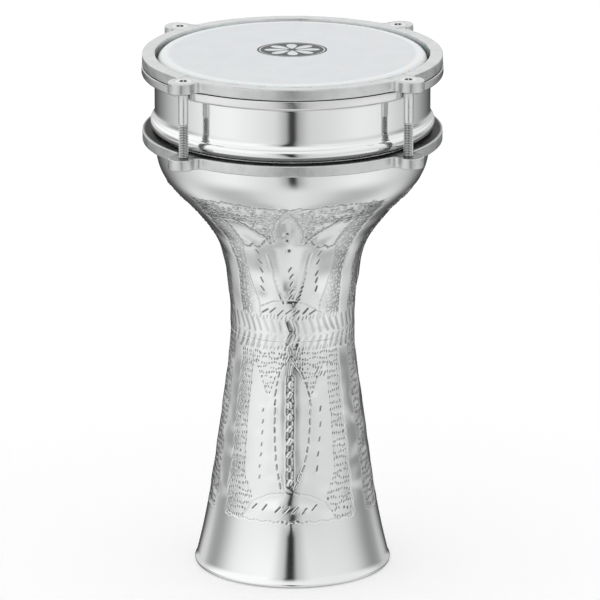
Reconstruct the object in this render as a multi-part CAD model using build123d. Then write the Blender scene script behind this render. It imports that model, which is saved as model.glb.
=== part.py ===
from build123d import *
import math
import os

# Darbuka: a goblet-shaped hand drum standing on its foot, skin upwards.
# Millimetres, +Z up. The origin is on the drum's axis, in the plane of the foot rim,
# and -Y is the front. The tension screws stand at 45 degrees to X and Y.

# Shell: two spun aluminium halves that meet in a flush lap joint at the waist
wall = 2.0
foot_radius = 59.4
waist_radius = 37.2
waist_height = 152.0
seat_radius = 81.9          # band under the bead, where the lower ring sits
seat_height = 263.0         # where the bowl turns upright into that band
collar_radius = 82.5        # plain band above the bead, 165 across: a 6 1/2 inch head
hem_radius = 1.8            # rolled edge of the foot
hem_height = 1.6            # the roll's centre, so that the foot stands on a narrow flat
lap_length = 8.0
lap_radius = waist_radius - wall / 2

# The shell's side as (radius, height), up to the waist and from the waist to the ring's seat
foot_side = [(foot_radius, 0), (55.3, 17), (47.0, 65), (40.7, 112), (waist_radius, waist_height)]
bowl_side = [(waist_radius, waist_height), (38.7, 172), (45.4, 204), (54.0, 217), (66.3, 231),
             (76.6, 243), (80.9, 253), (seat_radius, seat_height)]

# Upper end of the shell
bead_bottom = 272.0
bead_middle = 275.5
bead_top = 280.0
bead_radius = 85.0
bead_foot_radius = 82.3
crease_radius = 83.7        # sharp valley above the bead
flare_radius = 82.9
flare_middle = 281.7
flare_top = 283.6
collar_top = 303.5
neck_bottom = 304.7         # the neck passes through the drumhead's channel ring
neck_radius = 81.0
edge_radius = 80.1          # bearing edge, just inside the film
edge_round = 4.0
edge_height = 317.2
lip_radius = 73.8

# Cast rings, each with four lugs for the tension screws
ring_thickness = 6.8
ring_outer_radius = 89.9
ring_edge_round = 0.7
hoop_top = 318.0
hoop_inner_radius = 82.2
lower_ring_bottom = 264.9
lower_ring_inner_radius = 82.1
lug_centre_radius = 95.5
lug_radius = 8.0
lug_blend = 4.0

# Tension screws: M6 with a countersunk head and a hexagon socket
screw_names = ["front_right", "rear_right", "rear_left", "front_left"]
first_screw_angle = -45
screw_circle_radius = 93.6
screw_radius = 2.95
screw_tip_height = 265.1
screw_tip_chamfer = 0.7
head_radius = 5.3
head_edge = 0.4             # short upright rim of the head
head_depth = 3.0
head_gap = 0.05             # all round the head in its countersink
socket_across_flats = 4.0
socket_depth = 2.4
clearance_hole_radius = 3.3
tapped_hole_radius = 3.0

# Drumhead: film cast with resin into an aluminium channel ring
film_thickness = 0.25
film_top = 317.55
film_radius = 80.45         # outside of the film where it has turned down
film_edge_round = 4.2
film_root_radius = 82.35    # where the film enters the resin
film_exit_height = 308.5
film_root_height = 306.1
channel_wall = 0.8
channel_bottom = 305.2
channel_top = 310.95
channel_outer_radius = 90.2
channel_inner_radius = 81.3
channel_inner_top = 308.0
channel_round = 1.6
resin_top = 310.3


def turned(edges):
    """Solid of revolution of a closed outline drawn as (radius, height)."""
    return revolve(Plane.XZ * make_face(edges), Axis.Z)


def side_curve(points, inset, tangents):
    """Smooth curve through points shifted square to the side, towards the axis."""
    shifted = []
    for i, (radius, height) in enumerate(points):
        before, after = points[max(i - 1, 0)], points[min(i + 1, len(points) - 1)]
        along = (Vector(*after) - Vector(*before)).normalized()
        if i == 0:
            along = Vector(*tangents[0]).normalized()
        elif i == len(points) - 1:
            along = Vector(*tangents[1]).normalized()
        shifted.append((radius - inset * along.Y, height + inset * along.X))
    return Spline(*shifted, tangents=tangents)


def shell_side(inset):
    """The shell's side from the foot to the lip, at a depth of inset in the wall."""
    foot_curve = side_curve(foot_side, inset, [(-0.25, 1), (0, 1)])
    bowl_curve = side_curve(bowl_side, inset, [(0, 1), (0, 1)])
    seat_end = (seat_radius - inset, bead_bottom - 0.4)
    bead_start = (bead_foot_radius - inset, bead_bottom)
    crease = (crease_radius - inset, bead_top)
    flare_end = (collar_radius - inset, flare_top)
    round_centre = Vector(edge_radius - edge_round, edge_height - edge_round)
    round_radius = edge_round - inset
    round_start = round_centre + Vector(round_radius, 0)
    round_middle = round_centre + Vector(round_radius, round_radius) / math.sqrt(2)
    round_end = round_centre + Vector(0, round_radius)
    return [
        foot_curve,
        bowl_curve,
        Polyline(bowl_curve @ 1, seat_end, bead_start),
        ThreePointArc(bead_start, (bead_radius - inset, bead_middle), crease),
        ThreePointArc(crease, (flare_radius - inset, flare_middle), flare_end),
        Polyline(flare_end, (collar_radius - inset, collar_top),
                 (neck_radius - inset, neck_bottom), round_start),
        ThreePointArc(round_start, round_middle, round_end),
        Line(round_end, (lip_radius, edge_height - inset)),
    ]


def whole_shell():
    outside, inside = shell_side(0), shell_side(wall)
    lip = Line(outside[-1] @ 1, inside[-1] @ 1)
    foot = Line(outside[0] @ 0, inside[0] @ 0)
    shell = turned(outside + inside + [lip, foot])
    hem_centre = (foot_radius - hem_radius, hem_height)
    hem = revolve(Plane.XZ * Pos(*hem_centre) * Circle(hem_radius), Axis.Z)
    below = Pos(0, 0, -foot_radius) * Cylinder(2 * foot_radius, 2 * foot_radius)
    return shell + hem - below


def lap_region():
    """Everything below the joint, with the lower half's thin inner tongue."""
    lap_bottom = waist_height - lap_length / 2
    lower = Cylinder(2 * foot_radius, lap_bottom + 1, align=(Align.CENTER, Align.CENTER, Align.MIN))
    tongue = Cylinder(lap_radius, lap_length + 1, align=(Align.CENTER, Align.CENTER, Align.MIN))
    return Pos(0, 0, -1) * lower + Pos(0, 0, lap_bottom - 1) * tongue


def screw_places(radius):
    return PolarLocations(radius, len(screw_names), first_screw_angle)


def lugged_ring(bottom, inner_radius):
    """A flat cast ring with four rounded lugs that blend into its rim."""
    plan = Sketch() + Circle(ring_outer_radius)
    plan += [place * Circle(lug_radius) for place in screw_places(lug_centre_radius)]
    corners = [v for v in plan.vertices() if abs(abs(v.X) - abs(v.Y)) > 1 and abs(v.Y) > 1]
    plan = fillet(corners, lug_blend)
    ring = Pos(0, 0, bottom) * extrude(plan, ring_thickness)
    outer_edges = ring.edges().group_by(Axis.Z)
    ring = fillet(outer_edges[0] + outer_edges[-1], ring_edge_round)
    bore = Cylinder(inner_radius, 4 * ring_thickness)
    return ring - Pos(0, 0, bottom + ring_thickness / 2) * bore


def head_cone(gap):
    """The countersunk head's outline as a solid, enlarged by gap on every side."""
    rim = head_radius + gap
    throat = screw_radius + gap
    return turned([Polyline((0, 1), (rim, 1), (rim, -head_edge), (throat, -head_depth),
                            (0, -head_depth), (0, 1))])


def tension_hoop():
    hoop = lugged_ring(hoop_top - ring_thickness, hoop_inner_radius)
    for place in screw_places(screw_circle_radius):
        hoop -= place * Pos(0, 0, hoop_top) * head_cone(head_gap)
        hoop -= place * Pos(0, 0, hoop_top) * Cylinder(clearance_hole_radius, 4 * ring_thickness)
    return hoop


def lower_ring():
    ring = lugged_ring(lower_ring_bottom, lower_ring_inner_radius)
    for place in screw_places(screw_circle_radius):
        ring -= place * Pos(0, 0, lower_ring_bottom) * Cylinder(tapped_hole_radius, 4 * ring_thickness)
    return ring


def tension_screw():
    """One screw with its head's top at height zero, pointing down."""
    length = hoop_top - screw_tip_height
    shank = Cylinder(screw_radius, length, align=(Align.CENTER, Align.CENTER, Align.MAX))
    shank = chamfer(shank.edges().group_by(Axis.Z)[0], screw_tip_chamfer)
    above = Cylinder(2 * head_radius, 2, align=(Align.CENTER, Align.CENTER, Align.MIN))
    socket = extrude(RegularPolygon(socket_across_flats / 2, 6, major_radius=False), -socket_depth)
    return shank + head_cone(0) - above - socket


def film():
    """The playing skin: a flat disc that rounds over the bearing edge and leans out to its root."""
    def side(inset):
        round_centre = Vector(film_radius - film_edge_round, film_top - film_edge_round)
        round_radius = film_edge_round - inset
        root = (film_root_radius - inset, film_root_height)
        leaves = (film_root_radius - inset, film_exit_height)
        round_start = round_centre + Vector(round_radius, 0)
        round_middle = round_centre + Vector(round_radius, round_radius) / math.sqrt(2)
        round_end = round_centre + Vector(0, round_radius)
        return [
            Polyline(root, leaves, round_start),
            ThreePointArc(round_start, round_middle, round_end),
            Line(round_end, (0, film_top - inset)),
        ]
    outside, inside = side(0), side(film_thickness)
    axis_line = Line(outside[-1] @ 1, inside[-1] @ 1)
    root_line = Line(outside[0] @ 0, inside[0] @ 0)
    return turned(outside + inside + [axis_line, root_line])


def channel_ring():
    """The flesh hoop: a U-shaped aluminium ring, open at the top, with rounded outer corners."""
    floor = channel_bottom + channel_wall
    outline = Polyline(
        (channel_inner_radius, channel_bottom), (channel_outer_radius, channel_bottom),
        (channel_outer_radius, channel_top), (channel_outer_radius - channel_wall, channel_top),
        (channel_outer_radius - channel_wall, floor),
        (channel_inner_radius + channel_wall, floor),
        (channel_inner_radius + channel_wall, channel_inner_top),
        (channel_inner_radius, channel_inner_top), (channel_inner_radius, channel_bottom))
    section = make_face(outline)
    corner = section.vertices().sort_by_distance((channel_outer_radius, channel_bottom))[0]
    section = fillet(corner, channel_round)
    inner_corner = section.vertices().sort_by_distance((channel_outer_radius - channel_wall, floor))[0]
    section = fillet(inner_corner, channel_round - channel_wall)
    return revolve(Plane.XZ * section, Axis.Z)


def resin_ring():
    """Cured resin that fills the channel outside the film's root."""
    floor = channel_bottom + channel_wall
    outer = channel_outer_radius - channel_wall
    corner = channel_round - channel_wall
    return turned([Polyline(
        (film_root_radius, floor), (outer - corner, floor), (outer, floor + corner),
        (outer, resin_top), (film_root_radius, resin_top), (film_root_radius, floor))])


shell = whole_shell()
parts = {
    "upper_shell": shell - lap_region(),
    "lower_shell": shell & lap_region(),
    "lower_ring": lower_ring(),
    "tension_hoop": tension_hoop(),
    "drumhead_film": film(),
    "drumhead_flesh_hoop": channel_ring(),
    "drumhead_resin_ring": resin_ring(),
}
for name, place in zip(screw_names, screw_places(screw_circle_radius)):
    parts["tension_screw_" + name] = place * Pos(0, 0, hoop_top) * tension_screw()

os.makedirs("parts", exist_ok=True)
for name, solid in parts.items():
    export_step(solid, f"parts/{name}.step")
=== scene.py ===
import bpy
import math
import numpy as np
from mathutils import Matrix, Vector, noise


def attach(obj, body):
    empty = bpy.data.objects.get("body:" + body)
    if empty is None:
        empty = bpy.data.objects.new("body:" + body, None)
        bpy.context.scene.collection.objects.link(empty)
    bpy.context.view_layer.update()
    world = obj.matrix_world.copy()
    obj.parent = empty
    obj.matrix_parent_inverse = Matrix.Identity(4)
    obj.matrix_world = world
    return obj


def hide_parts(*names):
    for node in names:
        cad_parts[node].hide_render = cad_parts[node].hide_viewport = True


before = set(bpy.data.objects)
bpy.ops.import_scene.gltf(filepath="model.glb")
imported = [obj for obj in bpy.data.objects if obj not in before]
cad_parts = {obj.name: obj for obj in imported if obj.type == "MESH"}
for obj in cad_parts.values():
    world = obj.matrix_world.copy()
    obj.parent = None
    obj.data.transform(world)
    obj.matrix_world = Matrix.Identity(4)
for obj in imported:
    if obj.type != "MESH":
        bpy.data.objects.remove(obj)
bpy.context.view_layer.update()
print("frame loaded:", len(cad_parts), "nodes")

mm = 0.001
handwork = np.random.default_rng(41)  # every hand-made unevenness is drawn from here


def fromHex(code):
    channels = [int(code[i:i + 2], 16) / 255 for i in (0, 2, 4)]
    linear = [c / 12.92 if c <= 0.04045 else ((c + 0.055) / 1.055) ** 2.4 for c in channels]
    return (*linear, 1.0)


def plugIn(node, inputs):
    # An input takes a value, a socket, or another node's first output that is in use
    for key, value in inputs.items():
        if isinstance(value, bpy.types.Node):
            value = next(output for output in value.outputs if output.enabled)
        if isinstance(value, bpy.types.NodeSocket):
            node.id_data.links.new(value, node.inputs[key])
        else:
            node.inputs[key].default_value = value


def addNode(tree, kind, inputs={}, stops=(), **settings):
    node = tree.nodes.new(kind)
    for key, value in settings.items():
        setattr(node, key, value)
    for number, (position, code) in enumerate(stops):  # a colour ramp comes with two stops
        elements = node.color_ramp.elements
        stop = elements[number] if number < 2 else elements.new(position)
        stop.position, stop.color = position, fromHex(code)
    plugIn(node, inputs)
    return node


def newMaterial(name, colour, inputs):
    material = bpy.data.materials.new(name)
    material.use_nodes = True
    shader = material.node_tree.nodes["Principled BSDF"]
    plugIn(shader, {"Base Color": fromHex(colour), **inputs})
    return material, material.node_tree, shader


def addPiece(piece, material, body, slot, *nodes):
    if piece.name not in bpy.context.collection.objects:
        bpy.context.collection.objects.link(piece)
    piece.data.materials.clear()
    piece.data.materials.append(material)
    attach(piece, body)
    if nodes:
        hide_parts(*nodes)
    return piece


def meshPiece(name, vertices, faces):
    mesh = bpy.data.meshes.new(name)
    mesh.from_pydata(vertices, [], faces)
    mesh.shade_smooth()
    mesh.update()
    return bpy.data.objects.new(name, mesh)


def setPaintedShade(mesh, values):
    # Where 1, the finishes below paint shade into the metal's colour: in grooves, thread valleys, socket, the
    # ring's ledge and under the hoop
    values = np.ravel(values).astype(float)
    mesh.attributes.new("paintedShade", "FLOAT", "POINT").data.foreach_set("value", values)


# Sizes are in millimetres: cloud is the patchiness of the gloss with its detail, and relief lists
# the textures that the finish leaves, each with its size and height. Turning lines, sand grain and
# plating are finer on the real thing, and are drawn only as coarse as they need to be to show.
metalLooks = {
    # Nearly a mirror, with a faint haze and fine turning lines round the drum. The grooves are given
    # painted shade, darker than the crests, which the mesh is too coarse to shade; paste in them dulls the
    # gloss.
    "buffed spun aluminium": {
        "colour": "EEEFEF", "paintedShade": "666768", "roughness": (0.07, 0.13), "workedRoughness": 0.17,
        "cloud": (30, 3), "relief": [("turning lines", 0.5, 0.0006), ("worked grain", 1.1, 0.03)]},
    # Tumbled after casting: a soft grey sheen with the sand's fine grain all over, painted shade in corners
    "sand cast aluminium": {
        "colour": "DCDEDE", "patches": "CACCCC", "paintedShade": "7C7C7B", "roughness": (0.24, 0.36),
        "cloud": (9, 4), "relief": [("grain", 0.9, 0.05), ("pits", 2.6, 0.05)]},
    # Bright from the forming rolls, with a barely uneven gloss
    "rolled aluminium strip": {
        "colour": "E6E7E6", "paintedShade": "B4B6B5", "roughness": (0.14, 0.22),
        "cloud": (2.0, 3), "relief": [("grain", 2.0, 0.004)]},
    # Bright, with a slightly cool tone, a fine matte in the plating and painted shade in the thread and
    # socket
    "zinc plated steel": {
        "colour": "DFE0E0", "paintedShade": "34383A", "roughness": (0.16, 0.28),
        "cloud": (1.2, 3), "relief": [("grain", 1.2, 0.01)]},
}


def metalFinish(name):
    look = metalLooks[name]
    material, tree, shader = newMaterial(name, look["colour"], {"Metallic": 1.0})
    place = addNode(tree, "ShaderNodeTexCoord").outputs["Object"]
    paintedShade = addNode(tree, "ShaderNodeAttribute", attribute_name="paintedShade").outputs["Fac"]
    size, detail = look["cloud"]
    cloud = addNode(tree, "ShaderNodeTexNoise", {"Vector": place, "Scale": 1 / (size * mm), "Detail": detail})
    glossy, shadeLayer = look["roughness"]
    roughness = addNode(tree, "ShaderNodeMapRange", {
        "Value": cloud, "From Min": 0.3, "From Max": 0.7, "To Min": glossy, "To Max": shadeLayer})
    if "workedRoughness" in look:
        roughness = addNode(tree, "ShaderNodeMapRange", {
            "Value": paintedShade, "To Min": roughness, "To Max": look["workedRoughness"]})
    # Painted shade: the colour goes dark where the mask is 1
    tint = addNode(tree, "ShaderNodeMix", {"Factor": paintedShade, "A": fromHex(look["colour"]),
                                           "B": fromHex(look["paintedShade"])}, data_type="RGBA")
    if "patches" in look:
        patches = addNode(tree, "ShaderNodeValToRGB", {"Fac": cloud},
                          [(0.3, look["patches"]), (0.7, look["colour"])])
        shadeOnCasting = addNode(tree, "ShaderNodeMix", {"Factor": paintedShade, "A": (1, 1, 1, 1),
                                               "B": fromHex(look["paintedShade"])}, data_type="RGBA")
        plugIn(tint, {"A": patches})
        plugIn(shader, {"Specular Tint": shadeOnCasting})  # painted shade: the reflection stays dark when seen from low down
    normal = {}
    for texture, size, height in look["relief"]:
        scale, strength = 1 / (size * mm), 1.0
        if texture == "turning lines":  # drawn up the side; the level faces are too narrow to show any
            up = addNode(tree, "ShaderNodeSeparateXYZ", {"Vector": place}).outputs["Z"]
            rough = addNode(tree, "ShaderNodeTexNoise", {"W": up, "Scale": scale, "Detail": 1.0},
                            noise_dimensions="1D")
        elif texture == "pits":
            rough = addNode(tree, "ShaderNodeTexVoronoi", {"Vector": place, "Scale": scale},
                            feature="SMOOTH_F1")
        elif texture == "worked grain":  # only in the grooves
            rough = addNode(tree, "ShaderNodeTexNoise", {"Vector": place, "Scale": scale, "Detail": 2.0})
            strength = paintedShade
        else:
            rough = addNode(tree, "ShaderNodeTexNoise", {"Vector": place, "Scale": scale, "Detail": 3.0})
        bump = addNode(tree, "ShaderNodeBump", {"Height": rough, "Strength": strength,
                                                "Distance": height * mm, **normal})
        normal = {"Normal": bump}
    plugIn(shader, {"Base Color": tint, "Roughness": roughness, **normal})
    return material


# White PET film, 0.25 mm: smooth, milky and a little see-through. A painted highlight lightens the band
# where the bright bearing edge lies right under it.
petFilmLook = {"colour": "E2E5E8", "cloudy": "DFE2E5", "edgeHighlight": "F2F4F5", "edgeBand": (72.5, 75.5),
               "roughness": 0.33, "ior": 1.57, "mottle": 14, "mottleHeight": 0.01}


def petFilm(look):
    material, tree, shader = newMaterial("white PET film", look["colour"], {
        "Roughness": look["roughness"], "IOR": look["ior"], "Subsurface Weight": 0.25,
        "Subsurface Scale": 0.4 * mm})
    place = addNode(tree, "ShaderNodeTexCoord").outputs["Object"]
    flat = addNode(tree, "ShaderNodeVectorMath", {0: place, 1: (1, 1, 0)}, operation="MULTIPLY")
    radius = addNode(tree, "ShaderNodeVectorMath", {0: flat}, operation="LENGTH")
    inner, outer = (r * mm for r in look["edgeBand"])
    # painted highlight over the bearing edge
    edgeHighlight = addNode(tree, "ShaderNodeMapRange", {"Value": radius, "From Min": inner, "From Max": outer},
                       interpolation_type="SMOOTHSTEP")
    mottle = addNode(tree, "ShaderNodeTexNoise", {"Vector": place, "Scale": 1 / (look["mottle"] * mm),
                                                  "Detail": 2.0})
    milk = addNode(tree, "ShaderNodeValToRGB", {"Fac": mottle},
                   [(0.35, look["cloudy"]), (0.65, look["colour"])])
    tint = addNode(tree, "ShaderNodeMix", {"Factor": edgeHighlight, "A": milk, "B": fromHex(look["edgeHighlight"])},
                   data_type="RGBA")
    bump = addNode(tree, "ShaderNodeBump", {"Height": mottle, "Strength": 1.0,
                                            "Distance": look["mottleHeight"] * mm})
    plugIn(shader, {"Base Color": tint, "Normal": bump})
    return material


# Screen-printed ink: a flat charcoal, less glossy than the film, a little uneven from the mesh,
# which is drawn coarser than it is so that it shows.
def screenPrintInk():
    material, tree, shader = newMaterial("screen print ink", "33353A", {"Roughness": 0.42})
    place = addNode(tree, "ShaderNodeTexCoord").outputs["Object"]
    meshMarks = addNode(tree, "ShaderNodeTexNoise", {"Vector": place, "Scale": 1 / (1.5 * mm), "Detail": 2.0})
    tint = addNode(tree, "ShaderNodeValToRGB", {"Fac": meshMarks}, [(0.35, "2D2F33"), (0.65, "383A3F")])
    plugIn(shader, {"Base Color": tint})
    return material


# Cured polyester resin: a clear honey colour with small trapped bubbles.
def curedResin():
    material, tree, shader = newMaterial("cured polyester resin", "CDBE96", {
        "Roughness": 0.2, "IOR": 1.55, "Subsurface Weight": 0.4, "Subsurface Scale": 2 * mm})
    place = addNode(tree, "ShaderNodeTexCoord").outputs["Object"]
    bubbles = addNode(tree, "ShaderNodeTexVoronoi", {"Vector": place, "Scale": 1 / (1.4 * mm)})
    tint = addNode(tree, "ShaderNodeValToRGB", {"Fac": bubbles}, [(0.08, "EFE7D0"), (0.16, "CDBE96")])
    bump = addNode(tree, "ShaderNodeBump", {"Height": bubbles, "Strength": 1.0, "Distance": 0.1 * mm})
    plugIn(shader, {"Base Color": tint, "Normal": bump})
    return material


shellMetal, castMetal, stripMetal, screwMetal = (metalFinish(name) for name in metalLooks)
filmSkin = petFilm(petFilmLook)
printInk = screenPrintInk()
resin = curedResin()
print("materials made")

# The shell's side in millimetres, (radius, height), as the frame has it
shell = {
    "wall": 2.0,
    "footSide": [(59.4, 0), (55.3, 17), (47.0, 65), (40.7, 112), (37.2, 152)],
    "bowlSide": [(37.2, 152), (38.7, 172), (45.4, 204), (54.0, 217), (66.3, 231), (76.6, 243),
                 (80.9, 253), (81.9, 263)],
    "footLean": (-0.25, 1),
    "lap": (148, 156), "lapRadius": 36.2,
    "hemRadius": 1.8, "hemHeight": 1.6,
    "bead": [(81.9, 271.6), (82.3, 272.0), (85.0, 275.5), (83.7, 280.0)],
    "flare": (82.9, 281.7), "collar": (82.5, 283.6, 303.5), "neck": (81.0, 304.7),
    "edge": (80.1, 317.2), "edgeRound": 4.0, "lipRadius": 73.8,
    "columns": 600,
}


def smoothCurve(points, startDirection, endDirection, perSpan=200):
    # A cubic through the points with level curvature at each and the ends' directions held
    p = np.array(points, float)
    gap = np.linalg.norm(np.diff(p, axis=0), axis=1)
    count = len(p)
    left, right = np.eye(count), np.zeros((count, 2))
    right[0] = np.array(startDirection) / np.linalg.norm(startDirection)
    right[-1] = np.array(endDirection) / np.linalg.norm(endDirection)
    for i in range(1, count - 1):
        left[i, i - 1:i + 2] = gap[i], 2 * (gap[i - 1] + gap[i]), gap[i - 1]
        right[i] = 3 * (gap[i] / gap[i - 1] * (p[i] - p[i - 1]) + gap[i - 1] / gap[i] * (p[i + 1] - p[i]))
    pull = np.linalg.solve(left, right)
    t = np.linspace(0, 1, perSpan, endpoint=False)[:, None]
    spans = [(1 + 2 * t) * (1 - t) ** 2 * p[i] + t * (1 - t) ** 2 * gap[i] * pull[i]
             + t * t * (3 - 2 * t) * p[i + 1] + t * t * (t - 1) * gap[i] * pull[i + 1]
             for i in range(count - 1)]
    return np.vstack(spans + [p[-1:]])


footCurve = smoothCurve(shell["footSide"], shell["footLean"], (0, 1))
bowlCurve = smoothCurve(shell["bowlSide"], (0, 1), (0, 1))
sideCurve = np.vstack([footCurve, bowlCurve[1:]])
sideLength = np.concatenate([[0], np.cumsum(np.linalg.norm(np.diff(sideCurve, axis=0), axis=1))])


def lengthAt(height):
    return np.interp(height, sideCurve[:, 1], sideLength)


def sideAt(length):
    return np.stack([np.interp(length, sideLength, sideCurve[:, k]) for k in (0, 1)], axis=-1)


def radiusAt(height):
    return np.interp(height, sideCurve[:, 1], sideCurve[:, 0])


def sideRows(lowHeight, highHeight, spacing):
    low, high = lengthAt(lowHeight), lengthAt(highHeight)
    return [tuple(p) for p in sideAt(np.linspace(low, high, max(2, round((high - low) / spacing) + 1)))]


def arc(centre, radius, startAngle, endAngle, steps):
    angles = np.radians(np.linspace(startAngle, endAngle, steps + 1))
    return [(centre[0] + radius * math.cos(a), centre[1] + radius * math.sin(a)) for a in angles]


def arcThrough(a, b, c, steps):
    (ax, ay), (bx, by), (cx, cy) = a, b, c
    d = 2 * (ax * (by - cy) + bx * (cy - ay) + cx * (ay - by))
    ux = ((ax**2 + ay**2) * (by - cy) + (bx**2 + by**2) * (cy - ay) + (cx**2 + cy**2) * (ay - by)) / d
    uy = ((ax**2 + ay**2) * (cx - bx) + (bx**2 + by**2) * (ax - cx) + (cx**2 + cy**2) * (bx - ax)) / d
    turns = np.unwrap([math.atan2(y - uy, x - ux) for x, y in (a, b, c)])
    return arc((ux, uy), math.hypot(ax - ux, ay - uy), *np.degrees(turns[[0, 2]]), steps)


def movedIn(points, depth):
    # Shifts a line of (radius, height) square to itself, into the wall
    p = np.array(points)
    along = np.gradient(p, axis=0)
    along /= np.linalg.norm(along, axis=1)[:, None]
    return [tuple(q) for q in p + depth * np.stack([-along[:, 1], along[:, 0]], axis=-1)]


def softCorner(before, corner, after, radius=0.25):
    # Three close rows in place of a knife edge
    c = Vector(corner)
    into, out = (Vector(before) - c).normalized(), (Vector(after) - c).normalized()
    middle = c + (into + out) * radius * 0.3
    return [tuple(c + into * radius), tuple(middle), tuple(c + out * radius)]


def upperOutside():
    # From above the worked band to the lip
    bead, collar, neck, edge = shell["bead"], shell["collar"], shell["neck"], shell["edge"]
    centre = (edge[0] - shell["edgeRound"], edge[1] - shell["edgeRound"])
    flareEnd = collar[:2]
    return (
        bead[:2] + arcThrough(bead[1], bead[2], bead[3], 14)[1:-1]
        + softCorner(bead[2], bead[3], flareEnd)
        + arcThrough(bead[3], shell["flare"], flareEnd, 5)[1:]
        + [(collar[0], collar[1] + 2), (collar[0], collar[2] - 1), (collar[0], collar[2] - 0.2)]
        + [(neck[0] + 0.1, neck[1] - 0.1), (neck[0], neck[1] + 0.2), (edge[0] + 0.06, centre[1] - 1)]
        + arc(centre, shell["edgeRound"], 0, 90, 8)
        + [(shell["lipRadius"] + 0.4, edge[1]), (shell["lipRadius"], edge[1] - 0.4)])


def upperInside():
    bead, collar, neck, edge = shell["bead"], shell["collar"], shell["neck"], shell["edge"]
    wall = shell["wall"]
    centre = (edge[0] - shell["edgeRound"], edge[1] - shell["edgeRound"])
    side = movedIn(sideRows(shell["lap"][1], 262, 6), wall)
    return (
        [(shell["lipRadius"], edge[1] - wall + 0.3), (shell["lipRadius"] + 0.3, edge[1] - wall)]
        + arc(centre, shell["edgeRound"] - wall, 90, 0, 3)
        + [(neck[0] - wall, neck[1]), (collar[0] - wall, collar[2]), (collar[0] - wall, collar[1])]
        + [(r - wall, z) for r, z in bead[:0:-1]]
        + side[::-1])


def wrapFaces(rows, columns):
    # Four-sided faces between rows of points, closed both ways round
    index = np.arange(rows * columns).reshape(rows, columns)
    above, beside = np.roll(index, -1, axis=0), np.roll(index, -1, axis=1)
    return np.stack([index, beside, np.roll(above, -1, axis=1), above], axis=-1)


def wrapRows(radius, height, poles=False):
    # Rows of points round the axis joined up; poles closes both ends on the axis, else it is a ring
    rows, columns = radius.shape
    turn = np.radians(np.arange(columns) * 360 / columns)
    points = np.stack([radius * np.sin(turn), -radius * np.cos(turn), height], axis=-1) * mm
    faces = wrapFaces(rows, columns)[:rows - 1 if poles else rows]
    points, faces = points.reshape(-1, 3), faces.reshape(-1, 4).tolist()
    if poles:
        bottom, top, last = len(points), len(points) + 1, (rows - 1) * columns
        points = np.vstack([points, (0, 0, height[0, 0] * mm), (0, 0, height[-1, 0] * mm)])
        for i in range(columns):
            beside = (i + 1) % columns
            faces += [(bottom, beside, i), (top, last + i, last + beside)]
    return points, faces


def turnedShape(outline, columns, relief=None, poles=False):
    # An outline turned round the axis, up the outside first; relief lifts each point off the face
    p = np.array(outline, float)
    along = np.gradient(p, axis=0) if poles else np.roll(p, -1, axis=0) - np.roll(p, 1, axis=0)
    along /= np.linalg.norm(along, axis=1)[:, None] + 1e-9
    lift = np.zeros((len(p), columns)) if relief is None else relief
    return wrapRows(p[:, :1] + along[:, 1:] * lift, p[:, 1:] - along[:, :1] * lift, poles)


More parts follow.
